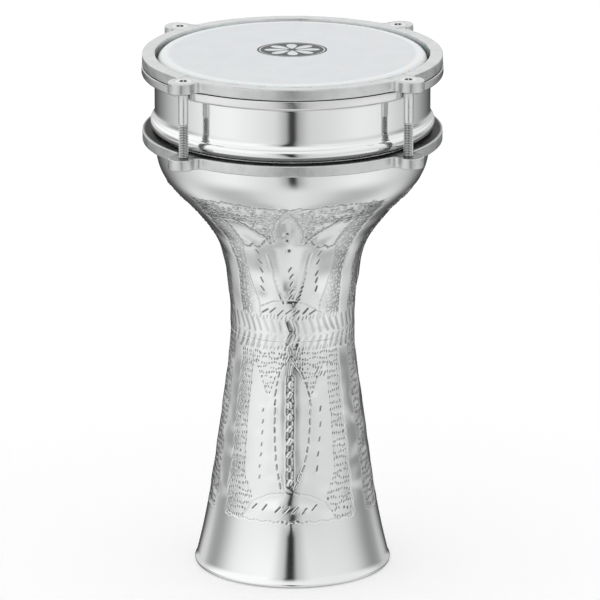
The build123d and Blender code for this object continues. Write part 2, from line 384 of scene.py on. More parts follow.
# The chased band: punched and chiselled by hand in three panels, plain strips between them.
# Angles are degrees from the panel's middle, heights and sizes are millimetres.
chasing = {
    "panelEdges": [-61.5, 52, 175.25, 298.5], "panelWidth": 113.5,
    "low": 36, "high": 246, "seam": 148, "lowerRows": 220, "upperRows": 196,
    "highEdge": 241.5, "punchedTo": 49.5, "groundDepth": 0.14, "groundEdge": 0.8,
    "unevenness": 0.196, "waves": 46, "waveSize": (13, 30), "waistRadius": 46,
    # sunk ground: its inner and outer edges, and its heights, where None is the wavy top edge
    "sunk": [("lowerStrip", 50, 39, 143), ("upperStrip", 50, 164, 229), ("crownLeaf", 50, 228, None),
             ("crownLeaf", "petalInner", 213.5, 230), ("veeInner", "veeOuter", 115, 139)],
    # raised dots in the upper strips
    "dots": {"low": 165, "high": 232, "rowPitch": 2.1, "pitch": 1.9, "size": 1.35, "rise": 0.3},
    # soft swellings, as angle, height, length, width, lean and rise
    "lowerSwells": [(-7.5, 100, 50, 6, 0, 0.1), (10, 96, 50, 7, 0, 0.12), (-17, 92, 50, 6, 0, 0.22),
                    (22, 92, 50, 6, 0, 0.2), (0, 46, 24, 14, 90, 0.3), (2, 36, 7, 9, 90, 0.22)],
    "upperSwells": [(0, 225, 22, 9, 0, 0.5), (27, 214, 15, 11, 40, 0.5), (-27, 214, 15, 11, -40, 0.5),
                    (24, 193, 34, 8, 0, 0.3), (-24, 193, 34, 8, 0, 0.3), (8, 195, 34, 6, 6, 0.22),
                    (-8, 195, 34, 6, -6, 0.22)],
    # outlines as (angle, height): the inner edges of the punched strips
    "lowerStrip": [(35, 38), (31.5, 45), (28, 50), (27, 54), (30, 58), (34, 64), (36, 72), (36.5, 100),
                   (35.5, 125), (35, 143)],
    "upperStrip": [(28, 163), (28, 172), (32, 180), (36.5, 190), (37, 200), (35, 210), (33, 213),
                   (35, 220), (37, 228)],
    # the leaf at the crown, and the gap between it and the side petals
    "crownLeaf": [(9, 213), (9.5, 218), (9, 222), (7, 228), (4.5, 233), (2.2, 237), (0, 240)],
    "petalInner": [(13, 214), (14.5, 218), (18.5, 222), (22.5, 225), (31, 230)],
    # the drawing in the lower panel
    "almondLeft": [(0, 141), (-8, 131), (-11.5, 118), (-11.5, 100), (-11, 90), (-10, 80), (-8, 70), (-5, 59)],
    "almondRight": [(1, 139), (10.5, 130), (16, 120), (18, 112), (17, 98), (15.5, 88), (13.5, 79),
                    (11, 72), (7.5, 65), (4, 59)],
    "veeInner": [(4, 139), (10.5, 130), (15.5, 120), (18, 115)],
    "veeOuter": [(33, 136), (25, 125), (20, 117), (18, 115)],
    "besideLeft": [(-22, 109), (-22, 64)], "besideRight": [(27, 111), (25.5, 94), (21.5, 74), (20.5, 64)],
    "baseArch": [(-34, 40), (-27, 50), (-14, 55.5), (0, 57), (14, 55.5), (27, 50), (34, 40)],
    "chain": [(0.8, 126), (0.8, 59)], "lowerSide": [(50, 40), (50, 143)],
    # and above the waist
    "waistArch": [(-28, 169), (-14, 173.5), (0, 175), (14, 172.5), (33, 164)],
    "tallPetal": [(16.5, 206), (14.5, 196), (12.5, 188), (9, 180), (5, 174)],
    "petalTop": [(13, 216.5), (18, 221.5), (25, 227), (32, 230.5), (40, 232.5)],
    "petalOuter": [(40, 232.5), (36.5, 221), (33, 210)],
    "petalFoot": [(33, 210), (28.5, 209.5), (25, 212), (22, 209.5), (18, 212), (13, 216.5)],
    "upperSide": [(50, 164), (50, 240)],
}
about = handwork.normal  # about(value, spread) is a value as the hand hits it


def blankBand():
    lower = np.linspace(lengthAt(chasing["low"]), lengthAt(chasing["seam"]), chasing["lowerRows"])
    upper = np.linspace(lengthAt(chasing["seam"]), lengthAt(chasing["high"]), chasing["upperRows"])
    length = np.concatenate([lower, upper[1:]])
    side = sideAt(length)
    angle = np.arange(shell["columns"]) * 360 / shell["columns"]
    edges = chasing["panelEdges"]
    shifted = (angle - edges[0]) % 360 + edges[0]
    panel = np.searchsorted(edges, shifted, side="right") - 1
    middles = [(edges[i] + edges[i + 1]) / 2 for i in range(3)]
    stretches = [(edges[i + 1] - edges[i]) / chasing["panelWidth"] for i in range(3)]
    local = (shifted - np.take(middles, panel)) / np.take(stretches, panel)
    blank = np.zeros((len(length), len(angle)))
    return {"length": length, "radius": side[:, 0], "height": side[:, 1], "angle": angle,
            "local": local, "panels": list(zip(middles, stretches)), "ground": blank.copy(),
            "cut": blank.copy(), "lip": blank.copy(), "paintedShade": blank.copy()}


band = blankBand()


def nearby(angle, height, reach):
    # The part of the band within reach of a place, with its across and up distances
    middle, stretch = band["panel"]
    there, row = middle + angle * stretch, lengthAt(height)
    radius, step = radiusAt(height), 360 / shell["columns"]
    first, last = np.searchsorted(band["length"], (row - reach, row + reach))
    span = math.degrees(reach / radius)
    columns = np.arange(math.floor((there - span) / step), math.ceil((there + span) / step) + 1)
    across = (np.radians(columns * step - there) * radius)[None, :]
    up = (band["length"][first:last] - row)[:, None]
    return np.ix_(np.arange(first, last), columns % shell["columns"]), across, up


def strokeDistance(across, up, along, wide, lean):
    # 1 on the edge of a round-ended stroke of that length and width
    tilt = math.radians(lean)
    u = across * math.sin(tilt) + up * math.cos(tilt)
    v = across * math.cos(tilt) - up * math.sin(tilt)
    return np.hypot(np.maximum(abs(u) - (along - wide) / 2, 0), v) / (wide / 2)


def hump(x):
    return np.where(abs(x) < 1, 0.5 + 0.5 * np.cos(np.pi * np.clip(x, -1, 1)), 0)


def strike(angle, height, along, wide, lean, depth, lip=0.15, grooveShade=1.0):
    place, across, up = nearby(angle, height, along / 2 + wide)
    far = strokeDistance(across, up, along, wide, lean)
    raised = lip * depth * hump((far - 1.35) / 0.5)  # the metal thrown up round the mark
    dark = grooveShade * np.clip((0.85 - far) / 0.45, 0, 1)  # painted shade lies in the middle of it
    for layer, change in (("cut", depth * hump(far)), ("lip", raised), ("paintedShade", dark)):
        band[layer][place] = np.maximum(band[layer][place], change)


def bead(angle, height, along, wide, lean, rise):
    # Left standing when the metal round it is chased down, with the painted shade taken off it
    place, across, up = nearby(angle, height, along / 2 + wide)
    far = strokeDistance(across, up, along, wide, lean)
    band["cut"][place] -= rise * hump(0.9 * far)
    band["paintedShade"][place] *= np.clip((far - 0.6) / 0.4, 0, 1)


def press(angle, height, along, wide, lean, rise):
    # A broad soft rise with no edge
    place, across, up = nearby(angle, height, along / 2 + 2 * wide)
    far = strokeDistance(across, up, along, wide, lean)
    band["ground"][place] += rise * np.exp(-1.5 * far ** 2)


def alongLine(line, spacing):
    # Evenly spaced places on a line, each with the line's lean there
    line = np.array(line, float)
    fine = np.linspace(0, len(line) - 1, 40 * len(line))
    angle, height = (np.interp(fine, np.arange(len(line)), line[:, k]) for k in (0, 1))
    across = np.radians(angle * band["panel"][1]) * radiusAt(height)
    up = lengthAt(height)
    run = np.concatenate([[0], np.cumsum(np.hypot(np.diff(across), np.diff(up)))])
    for place in np.arange(spacing / 2, run[-1], spacing):
        ahead, behind = min(place + 0.5, run[-1]), max(place - 0.5, 0)
        dx, dy = (np.interp(ahead, run, way) - np.interp(behind, run, way) for way in (across, up))
        yield np.interp(place, run, angle), np.interp(place, run, height), math.degrees(math.atan2(dx, dy))


def chiselLine(line, stroke, gap, wide, depth, sway=0.0, twist=0.0, grooveShade=0.8):
    for angle, height, lean in alongLine(line, stroke + gap):
        wobble = about(0, 1, 4)
        strike(angle + sway * wobble[0], height + sway * wobble[1], stroke * (1 + 0.08 * wobble[2]),
               wide, lean + twist + 4 * wobble[3], depth * (1 + 0.1 * wobble[1]), 0.25, grooveShade)


def strokeRow(angles, height, along, wide, lean, depth, astray=0.4, turned=4, lip=0.25, grooveShade=1.0):
    for angle in angles:
        strike(about(angle, astray), about(height, 0.5), along, wide, about(lean, turned), depth, lip, grooveShade)


def sideOf(name, side):
    # One of the outlines, or its mirror image where side is -1
    return [(side * angle, height) for angle, height in chasing[name]]


def edgeAt(edge, height):
    # The angle of an edge, which is one of the outlines or stays the same all the way up
    if not isinstance(edge, str):
        return edge
    heights, angles = zip(*sorted((h, a) for a, h in chasing[edge]))
    return np.interp(height, heights, angles)


def dotRows(low, high, rowPitch, pitch, size, rise):
    # Little raised dots in staggered rows, each as wide as it is high
    for number, height in enumerate(np.arange(low, high, rowPitch)):
        perDegree = math.radians(band["panel"][1]) * radiusAt(height)
        start = edgeAt("upperStrip", height) + 1 + 0.5 * (number % 2) * pitch / perDegree
        for side in (-1, 1):
            for angle in np.arange(start, chasing["punchedTo"] - 0.3 / perDegree, pitch / perDegree):
                wobble = about(0, 1, 3)
                bead(side * (angle + 0.28 * pitch * wobble[0] / perDegree), height + 0.5 * wobble[1],
                     size * (1.15 + 0.2 * wobble[2]), size * (0.95 + 0.2 * wobble[0]), 40 * wobble[1],
                     rise * (1 + 0.3 * wobble[2]))


def punchRows(low, high, rowPitch, inner, outer, pitch, punch, depth, skip=0.04, wild=0.0):
    # Rows of little upright punch marks between two edges; wild, from 0 to 1, lets them wander,
    # turn and differ in size
    wide, tall = punch
    for height in np.arange(low, high, rowPitch):
        perDegree = math.radians(band["panel"][1]) * radiusAt(height)
        start, end = edgeAt(inner, height) + 0.4 / perDegree, edgeAt(outer, height) - 0.4 / perDegree
        for side in (-1, 1):
            rise = about(0, 0.25)
            for angle in np.arange(start, end, pitch / perDegree):
                wobble = about(0, 1, 5)
                if handwork.random() < skip:
                    continue
                bend = 0.5 * math.sin(angle * 0.35 + height)
                strike(side * (angle + (0.15 + 0.25 * wild) * pitch * wobble[0] / perDegree),
                       height + rise + bend + (0.07 + 0.25 * wild) * rowPitch * wobble[1],
                       tall * max(0.6, 1 + (0.12 + 0.35 * wild) * wobble[2]), wide,
                       (7 + 45 * wild) * wobble[3], depth * (1 + (0.15 + 0.25 * wild) * wobble[4]),
                       0.15 + 0.5 * wild, 1 - wild * max(0, 0.92 - angle / 45))


def topEdge(angle):
    return chasing["highEdge"] - np.cos(2 * np.pi * angle / 50)


def sinkGround():
    # Punched ground lies a little lower than the plain shapes that it surrounds
    angle, height = abs(band["local"])[None, :], band["height"][:, None]
    perDegree, length = np.radians(1) * band["radius"][:, None], band["length"][:, None]
    for inner, outer, low, high in chasing["sunk"]:
        top = lengthAt(topEdge(band["local"]))[None, :] if high is None else lengthAt(high)
        edges = np.broadcast_arrays((angle - edgeAt(inner, height)) * perDegree,
                                    (edgeAt(outer, height) - angle) * perDegree,
                                    length - lengthAt(low), top - length)
        t = np.clip(np.minimum.reduce(edges) / chasing["groundEdge"], 0, 1)
        area = t * t * (3 - 2 * t)
        band["ground"] -= chasing["groundDepth"] * area
        # Painted shade on the punched ground, darker towards the panels' sides above the waist
        shade = np.where(height > 160, np.clip((angle - 30) / 25, 0.04, 0.7), 0.04)
        band["paintedShade"] = np.maximum(band["paintedShade"], shade * area)


def addUnevenness():
    # Hand-held work leaves the sheet gently wavy
    low, high = chasing["low"] + 2, chasing["highEdge"]
    height, length = band["height"][:, None], band["length"][:, None]
    fade = np.clip((height - low) / 8, 0, 1) * np.clip((high - height) / 8, 0, 1)
    turn = np.radians(band["angle"])[None, :]
    waves = np.zeros_like(band["ground"])
    for _ in range(chasing["waves"]):
        size = handwork.uniform(*chasing["waveSize"])
        heading = handwork.uniform(0, np.pi)
        wavesRound = round(2 * np.pi * chasing["waistRadius"] / size * math.cos(heading))
        upward = 2 * np.pi / size * math.sin(heading)
        waves += np.cos(wavesRound * turn + upward * length + handwork.uniform(0, 2 * np.pi))
    band["ground"] += chasing["unevenness"] * waves / chasing["waves"] ** 0.5 * fade


def chaseLowerPanel():
    wide = chasing["punchedTo"]
    punchRows(41, 133, 3.8, "lowerStrip", wide, 1.5, (0.9, 2.1), 0.34)
    punchRows(135, 142, 2.9, 1.5, wide, 1.6, (0.9, 1.8), 0.3)
    punchRows(117, 134, 3.0, "veeInner", "veeOuter", 1.6, (0.9, 1.6), 0.3)
    for name in ("veeInner", "veeOuter"):
        for side in (1, -1):
            chiselLine(sideOf(name, side), 2.6, 0.6, 0.9, 0.3)
    for name in ("almondLeft", "almondRight"):
        chiselLine(chasing[name], 4.6, 1.1, 1.2, 0.45, 0.1)
    chiselLine(chasing["besideLeft"], 3.4, 3.4, 1.2, 0.35, 0.15, 14)
    chiselLine(chasing["besideRight"], 4.4, 4.6, 1.3, 0.4, 0.15, 10)
    chiselLine(chasing["chain"], 8, -2.5, 3.6, 0.3, 0.15, grooveShade=0.9)
    strike(0.8, 132, 9, 1.6, 8, 0.3, 0.15, 0.5)
    for k in range(9):  # beads raised in a dark channel
        bead(0.8 + about(0, 0.2), 122 - 5.9 * k - 0.19 * k * k, 4.9 + 0.7 * handwork.random(), 3.3,
             about(12, 4), 0.5)
    chiselLine(chasing["baseArch"], 5.0, -0.6, 1.7, 0.15, grooveShade=0.2)
    strokeRow((-25, -16, -7, -0.5, 5, 11, 18), 46.5, 5.6, 1.4, 40, 0.42)
    for angle in (26, 29.5, 33):
        strike(angle, about(129, 1), 4.0, 1.1, 30, 0.25)
    for k in range(11):  # the wavy lower border
        start = -50 + k * 9.1
        chiselLine([(start, 39.6), (start + 4.5, 38.6), (start + 9, 39.6)], 3, -0.4, 1.5, 0.2, grooveShade=0.3)
    for side in (-1, 1):
        chiselLine(sideOf("lowerSide", side), 9, -1.0, 1.4, 0.12, grooveShade=0.05)
    for swell in chasing["lowerSwells"]:
        press(*swell)


def chaseWaist():
    lean = math.degrees(math.atan2(math.radians(5) * 38, 10))
    for k in range(16):  # two rows of slanting strokes make a band of arrowheads
        angle = about(-53 + k * 7.1, 0.4)
        fromMiddle = abs(angle + 2)  # lighter strokes in the middle
        for height, tilt in ((158, -lean), (147.5, lean)):
            strike(angle + 2.5, about(height, 0.4), 10.5, 2.8, about(tilt, 3),
                   (0.12 + 0.06 * handwork.random()) * min(1, 0.35 + fromMiddle / 30), 0.5,
                   min(0.4, fromMiddle / 90))
        press(angle + 5.5, 153, 9, 5.5, 0, 0.08 + 0.12 * handwork.random())
    for height, tilt in ((158.5, -24), (150, 24)):  # the deepest fold, in the middle
        strike(1.0, height, 9, 3.4, tilt, 0.3, 0.3, 0.55)
    strike(2.0, 143, 6, 2.6, -20, 0.25, 0.3, 0.45)
    for angle in np.arange(-46, 48, 3.6):
        strokeRow([angle], 163.6, 3.4, 1.1, 18, 0.2, turned=6, lip=0.15, grooveShade=0.4)
        strokeRow([angle], 144.2, 3.2, 1.1, 20, 0.18, turned=6, lip=0.15, grooveShade=0.4)
    chiselLine(chasing["waistArch"], 4.6, -0.6, 1.4, 0.26, grooveShade=0.2)
    strike(2.5, 173.8, 7, 1.8, 90, 0.5, 0.3)
    strokeRow((-22, -15, -8, 0, 7, 14, 21), 167.3, 6, 1.3, 50, 0.35, astray=0.5, turned=5)


def chaseUpperPanel():
    dotRows(**chasing["dots"])
    punchRows(229, 240.5, 2.5, "crownLeaf", 50, 2.3, (1.6, 2.4), 0.7, 0.3, 1.0)
    punchRows(215, 229, 2.6, "crownLeaf", "petalInner", 2.3, (1.4, 2.1), 0.55, 0.4, 0.9)
    for side in (-1, 1):
        chiselLine(sideOf("tallPetal", side), 4.5, -1.2, 2.2, 0.22, grooveShade=0.2)
        for name, deep, grooveShade in (("petalTop", 0.75, 0.9), ("petalOuter", 0.5, 0.4), ("petalFoot", 0.6, 0.7)):
            chiselLine(sideOf(name, side), 3.6, -0.6, 1.6, deep, 0.15, grooveShade=grooveShade)
        chiselLine(sideOf("crownLeaf", side), 3.4, -0.8, 1.9, 0.45, 0.1, grooveShade=0.3)
        for height in (206, 199.5, 193, 187, 181):
            strike(side * 23.5, about(height, 0.4), 4.6, 1.3, about(side * 24, 5), 0.34, 0.25)
        strike(side * 11.5, 218.5, 2.8, 1.7, 0, 0.35)
        strike(side * 12, 213.5, 2.6, 1.7, 0, 0.35)
        chiselLine(sideOf("upperStrip", side), 5, -0.8, 1.5, 0.24, grooveShade=0.25)
        chiselLine(sideOf("upperSide", side), 9, -1.0, 1.5, 0.16, grooveShade=0.1)
    for height in (195, 190.5, 185.5, 181, 177):
        strike(about(2, 0.8), height, 4.2, 1.4, about(38, 5), 0.36, 0.25)
    for k in range(4):
        strike(8 + k * 1.1, 175 + k * 2.8, 3.2, 1.1, 40, 0.25)
    for angle, height in ((0, 221.5), (-0.5, 215.5), (0.5, 208)):
        strike(angle, height, 3.6, 2.3, 5, 0.42, 0.3)
    edge = [(angle, about(float(topEdge(angle)), 0.25)) for angle in np.arange(-50, 50.1, 2.5)]
    chiselLine(edge, 3.4, -0.4, 1.5, 0.5, 0.25, grooveShade=0.6)
    for swell in chasing["upperSwells"]:
        press(*swell)


sinkGround()
for panel in band["panels"]:
    band["panel"] = panel  # the one being worked on
    chaseLowerPanel()
    chaseWaist()
    chaseUpperPanel()
addUnevenness()
relief = band["ground"] + band["lip"] - band["cut"]
print("band chased: %.2f mm deepest, %.2f mm highest" % (relief.min(), relief.max()))


def shellPiece(name, outline, start, count, firstBandRow, node):
    # The outline has count rows of the band in it, the first of them at start
    lift = np.zeros((len(outline), shell["columns"]))
    shadeLayer = np.zeros_like(lift)
    lift[start:start + count] = relief[firstBandRow:firstBandRow + count]
    # the band's painted shade goes with its rows
    shadeLayer[start:start + count] = band["paintedShade"][firstBandRow:firstBandRow + count]
    piece = meshPiece(name, *turnedShape(outline, shell["columns"], lift))
    setPaintedShade(piece.data, shadeLayer)
    return addPiece(piece, shellMetal, "shell", "shell_aluminium", node)


def lowerOutline():
    hemCentre = (shell["footSide"][0][0] - shell["hemRadius"], shell["hemHeight"])
    start = sideRows(3.4, chasing["low"], 3.0)[:-1]
    hem = [(hemCentre[0] - 1.2, 0.02)] + arc(hemCentre, shell["hemRadius"], -58, 20, 7)
    bandRows = [tuple(p) for p in sideAt(band["length"][:chasing["lowerRows"]])]
    lapRadius, (lapLow, lapHigh) = shell["lapRadius"], shell["lap"]
    tongue = [(lapRadius + 0.02, lapLow + 0.02), (lapRadius, lapHigh - 0.3), (lapRadius - 0.3, lapHigh)]
    inside = movedIn(sideRows(5, lapHigh, 9), shell["wall"])[::-1]
    curl = arc(hemCentre, shell["hemRadius"], 130, 235, 6)
    return hem + start + bandRows + tongue + inside + curl, len(hem) + len(start), len(bandRows)


def upperOutline():
    bandRows = [tuple(p) for p in sideAt(band["length"][chasing["lowerRows"] - 1:])]
    plain = sideRows(chasing["high"], 263, 2.2)[1:]
    bore = [(shell["lapRadius"], shell["lap"][1]), (shell["lapRadius"], shell["lap"][0] + 0.02)]
    return bandRows + plain + upperOutside() + upperInside() + bore, 0, len(bandRows)


lowerShell = shellPiece("lower_shell_spun", *lowerOutline(), 0, "lower_shell")
print("lower shell:", len(lowerShell.data.polygons), "faces")
upperShell = shellPiece("upper_shell_spun", *upperOutline(), chasing["lowerRows"] - 1, "upper_shell")
print("upper shell:", len(upperShell.data.polygons), "faces")

drumhead = {"filmTop": 317.55, "filmThick": 0.25, "filmRadius": 80.45, "filmRound": 4.2,
            "root": (82.35, 306.1), "exitHeight": 308.5, "columns": 256,
            "channelWall": 0.8, "channelInner": 81.3, "channelOuter": 90.2, "channelBottom": 305.2,
            "channelTop": 310.95, "channelInnerTop": 308.0, "channelRound": 1.6, "rimRound": 0.3,
            "markSize": (21.0, 17.2), "markBack": 7.5, "markHigh": 0.03, "inkThick": 0.02}


def filmOutline():
    top, radius, turn = drumhead["filmTop"], drumhead["filmRadius"], drumhead["filmRound"]
    thick, root, leaves = drumhead["filmThick"], drumhead["root"], drumhead["exitHeight"]
    centre = (radius - turn, top - turn)
    outside = [root, (root[0], leaves)] + arc(centre, turn, 0, 90, 10)
    inside = [(root[0] - thick, root[1]), (root[0] - thick, leaves)] + arc(centre, turn - thick, 0, 90, 10)
    for radius in (74, 71, 60, 45, 30, 15, 0.5):
        outside.append((radius, top))
        inside.append((radius, top - thick))
    return inside[::-1] + outside


film = meshPiece("drumhead_film_skin", *turnedShape(filmOutline(), drumhead["columns"], poles=True))
addPiece(film, filmSkin, "drumhead", "film", "drumhead_film")


def channelOutline():
    wall, soft = drumhead["channelWall"], drumhead["rimRound"]
    inner, outer = drumhead["channelInner"], drumhead["channelOuter"]
    low, high, innerHigh = drumhead["channelBottom"], drumhead["channelTop"], drumhead["channelInnerTop"]
    turn = drumhead["channelRound"]
    outside = [(inner + soft, low), (84, low), (86.5, low)] + arc((outer - turn, low + turn), turn, -90, 0, 8)
    rim = arc((outer - soft, high - soft), soft, 0, 90, 3)
    rim += arc((outer - wall + soft, high - soft), soft, 90, 180, 3)
    floor = arc((outer - turn, low + turn), turn - wall, 0, -90, 4) + [(inner + wall, low + wall)]
    innerRim = [(inner + wall, innerHigh - 0.2), (inner + wall - 0.2, innerHigh), (inner + 0.2, innerHigh),
                (inner, innerHigh - 0.2), (inner, low + soft)]
    return outside + [(outer, high - 1.2)] + rim + floor + innerRim


channel = meshPiece("drumhead_channel_ring", *turnedShape(channelOutline(), drumhead["columns"]))
channel.data.set_sharp_from_angle(angle=math.radians(50))
addPiece(channel, stripMetal, "drumhead", "channel_aluminium", "drumhead_flesh_hoop")


def printedMark():
    # An oval of ink with an eight-petalled rosette and a thin ring left clear in it
    half, back = drumhead["markSize"], drumhead["markBack"]
    curve = bpy.data.curves.new("printed_mark", "CURVE")
    curve.dimensions, curve.fill_mode, curve.extrude = "2D", "BOTH", drumhead["inkThick"] * mm / 2

    def loop(points):
        spline = curve.splines.new("POLY")
        spline.points.add(len(points) - 1)
        for point, (x, y) in zip(spline.points, points):
            point.co = (x * mm, (y + back) * mm, 0, 1)
        spline.use_cyclic_u = True

    def oval(scale, steps=96):
        turns = [2 * math.pi * i / steps for i in range(steps)]
        return [(half[0] * scale * math.cos(t), half[1] * scale * math.sin(t)) for t in turns]

    loop(oval(1.0))
    loop(oval(0.94)[::-1])
    loop(oval(0.905))
    for k in range(8):
        heading = math.pi * k / 4
        petal = [(0.46 + 0.33 * math.cos(t), 0.14 * math.sin(t) * (1 + 0.45 * math.cos(t)))
                 for t in (2 * math.pi * i / 24 for i in range(24))]
        loop([(half[0] * (u * math.cos(heading) - v * math.sin(heading)),
               half[1] * (u * math.sin(heading) + v * math.cos(heading))) for u, v in petal][::-1])
    holder = bpy.data.objects.new("printed_mark_curve", curve)
    bpy.context.collection.objects.link(holder)
    mesh = bpy.data.meshes.new_from_object(holder.evaluated_get(bpy.context.evaluated_depsgraph_get()))
    mesh.transform(Matrix.Translation((0, 0, (drumhead["filmTop"] + drumhead["markHigh"]) * mm)))
    bpy.data.objects.remove(holder)
    return bpy.data.objects.new("drumhead_printed_mark", mesh)


addPiece(printedMark(), printInk, "drumhead", "film")
print("drumhead made")

# hoop and lower are each ring's bottom, inner radius and screw hole's radius
castRing = {"thick": 6.8, "outer": 89.9, "edgeRound": 0.7, "lugCentre": 95.5, "lugRadius": 8.0, "blend": 4.0,
            "hoop": (311.2, 82.2, 3.3), "lower": (264.9, 82.1, 3.0), "screwCircle": 93.6,
            "unevenness": 0.06, "headRadius": 5.35, "headDepth": 3.05, "headEdge": 0.4}


def ringPlan():
    # One quarter between two lugs' middles, as complex numbers with the first lug on the real axis
    outer, lug, blend = castRing["outer"], castRing["lugRadius"], castRing["blend"]
    centre, far = castRing["lugCentre"], castRing["outer"] + castRing["blend"]
    opening = math.acos((far ** 2 + centre ** 2 - (lug + blend) ** 2) / (2 * far * centre))
    corner = far * np.exp(1j * opening)
    toLug, toRing = np.angle(centre - corner), np.angle(-corner)
    lugArc = centre + lug * np.exp(1j * np.linspace(0, np.angle(corner - centre), 16))
    blendArc = corner + blend * np.exp(1j * np.linspace(toLug, toRing, 12))
    rimArc = outer * np.exp(1j * np.linspace(opening, math.pi / 4, 28))
    half = np.concatenate([lugArc, blendArc[1:], rimArc[1:]])
    other = 1j * np.conj(half)[::-1]
    return np.concatenate([half, other[1:-1]])


def castRingMesh(bottom, inner, hole, countersunk):
    quarter = ringPlan()
    plan = np.concatenate([quarter * 1j ** k for k in range(4)]) * np.exp(-1j * math.pi / 4)
    along = np.roll(plan, -1) - np.roll(plan, 1)
    out = -1j * along / abs(along)
    bore = inner * plan / abs(plan)
    thick, soft = castRing["thick"], castRing["edgeRound"]
    edge, boreOut = plan - soft * out, bore / abs(bore)
    side = arc((-soft, soft), soft, -90, 0, 4) + [(0, thick / 3), (0, 2 * thick / 3)]
    side += arc((-soft, thick - soft), soft, 0, 90, 4)
    innerSide = [(0.35, thick), (0.1, thick - 0.1), (0, thick - 0.35), (0, 0.35), (0.1, 0.1), (0.35, 0)]
    rows = [(plan + dx * out, dz) for dx, dz in side]
    rows += [(edge + (bore - edge) * step, thick) for step in (0.08, 0.16, 0.33, 0.66)]
    rows += [(bore + dx * boreOut, dz) for dx, dz in innerSide]
    rows += [(edge + (bore - edge) * step, 0) for step in (0.66, 0.33)]
    points = [(p.real * mm, p.imag * mm, (bottom + z) * mm) for row, z in rows for p in row]
    mesh = bpy.data.meshes.new("cast_ring")
    mesh.from_pydata(points, [], wrapFaces(len(rows), len(plan)).reshape(-1, 4).tolist())
    mesh.update()
    for vertex, normal in zip(mesh.vertices, [n.vector.copy() for n in mesh.vertex_normals]):
        lump = noise.noise(vertex.co / (7 * mm)) + 0.5 * noise.noise(vertex.co / (3 * mm))
        vertex.co -= normal * castRing["unevenness"] * mm * (0.7 + lump)
    ringObject = bpy.data.objects.new("cast_ring", mesh)
    bpy.context.collection.objects.link(ringObject)
    cutters = []
    for k in range(4):
        heading = math.radians(45 + 90 * k)
        outline = [(0.2, bottom - 3), (hole, bottom - 3)]
        if countersunk:
            top, head = bottom + thick, castRing["headRadius"]
            outline += [(hole, top - castRing["headDepth"]), (head, top - castRing["headEdge"]),
                        (head, top + 3), (0.2, top + 3)]
        else:
            outline += [(hole, bottom + thick + 3), (0.2, bottom + thick + 3)]
        cutter = meshPiece("cutter", *turnedShape(outline, 40, poles=True))
        cutter.location = Vector((math.cos(heading), math.sin(heading), 0)) * castRing["screwCircle"] * mm
        bpy.context.collection.objects.link(cutter)
        cutters.append(cutter)
        cut = ringObject.modifiers.new("hole", "BOOLEAN")
        cut.operation, cut.object, cut.solver = "DIFFERENCE", cutter, "EXACT"
    done = bpy.data.meshes.new_from_object(ringObject.evaluated_get(bpy.context.evaluated_depsgraph_get()))
    for spare in cutters + [ringObject]:
        bpy.data.objects.remove(spare)
    done.shade_smooth()
    done.set_sharp_from_angle(angle=math.radians(38))
    # painted shade where shade falls: the lower ring's ledge, and under the hoop
    spots = np.array([v.co for v in done.vertices]) / mm
    radius, rise = np.hypot(spots[:, 0], spots[:, 1]), spots[:, 2] - bottom
    if countersunk:
        shadeOnCasting = 0.85 * (rise < 0.3)
    else:
        shadeOnCasting = 0.95 * (rise > thick - 0.2) * np.clip((castRing["outer"] - 0.3 - radius) / 1.2, 0.4, 1)
    setPaintedShade(done, shadeOnCasting)
    return done


hoop = bpy.data.objects.new("tension_hoop_casting", castRingMesh(*castRing["hoop"], countersunk=True))
addPiece(hoop, castMetal, "tension_hoop", "cast_aluminium", "tension_hoop")
lowerRing = bpy.data.objects.new("lower_ring_casting", castRingMesh(*castRing["lower"], countersunk=False))
addPiece(lowerRing, castMetal, "shell", "cast_aluminium", "lower_ring")
print("cast rings made")

screw = {"radius": 2.95, "top": 318.0, "tip": 265.1, "headRadius": 5.3, "headEdge": 0.4, "headDepth": 3.0,
         "socketAcross": 4.6, "socketDepth": 2.4, "pitch": 1.0, "threadDepth": 0.55,
         "threadTop": 292.5, "columns": 24, "tipCone": 0.9,
         "places": {"front_right": -45, "rear_right": 45, "rear_left": 135, "front_left": -135}}


def screwMesh():
    columns = screw["columns"]
    turn = np.arange(columns) / columns
    hexagon = screw["socketAcross"] / 2 / np.cos((turn * 2 * np.pi) % (np.pi / 3) - np.pi / 6)
    even = np.ones(columns)
    rows = [(even * 0.4, screw["tip"]), (even * (screw["radius"] - screw["tipCone"]), screw["tip"])]
    perTurn = 8
    for height in np.arange(screw["tip"] + 0.3, screw["threadTop"], screw["pitch"] / perTurn):
        phase = (height / screw["pitch"] - turn) % 1
        valley = 1 - abs(2 * phase - 1)
        fadeOut = np.clip((screw["threadTop"] - height) / 1.5, 0, 1)
        cone = min(screw["tipCone"], max(0, screw["tip"] + screw["tipCone"] - height))
        crest = screw["radius"] - cone
        rows.append((crest - screw["threadDepth"] * fadeOut * np.clip(valley * 1.25 - 0.12, 0, 1), height))
    top, radius, head = screw["top"], screw["radius"], screw["headRadius"]
    neck, brim, floor = top - screw["headDepth"], top - screw["headEdge"], top - screw["socketDepth"]
    rows += [(even * r, z) for r, z in (
        (radius, screw["threadTop"] + 0.2), (radius, 302), (radius, neck - 0.2), (radius + 0.15, neck),
        (head - 0.1, brim - 0.08), (head, brim), (head, top - 0.22), (head - 0.08, top - 0.06),
        (head - 0.3, top - 0.02), (3.4, top - 0.02))]
    rows += [(hexagon * 1.05, top - 0.03), (hexagon, top - 0.16), (hexagon, floor + 0.1),
             (hexagon * 0.96, floor), (even * 0.4, floor - 0.15)]
    radii, heights = zip(*rows)
    return wrapRows(np.array(radii), np.outer(heights, even), poles=True)


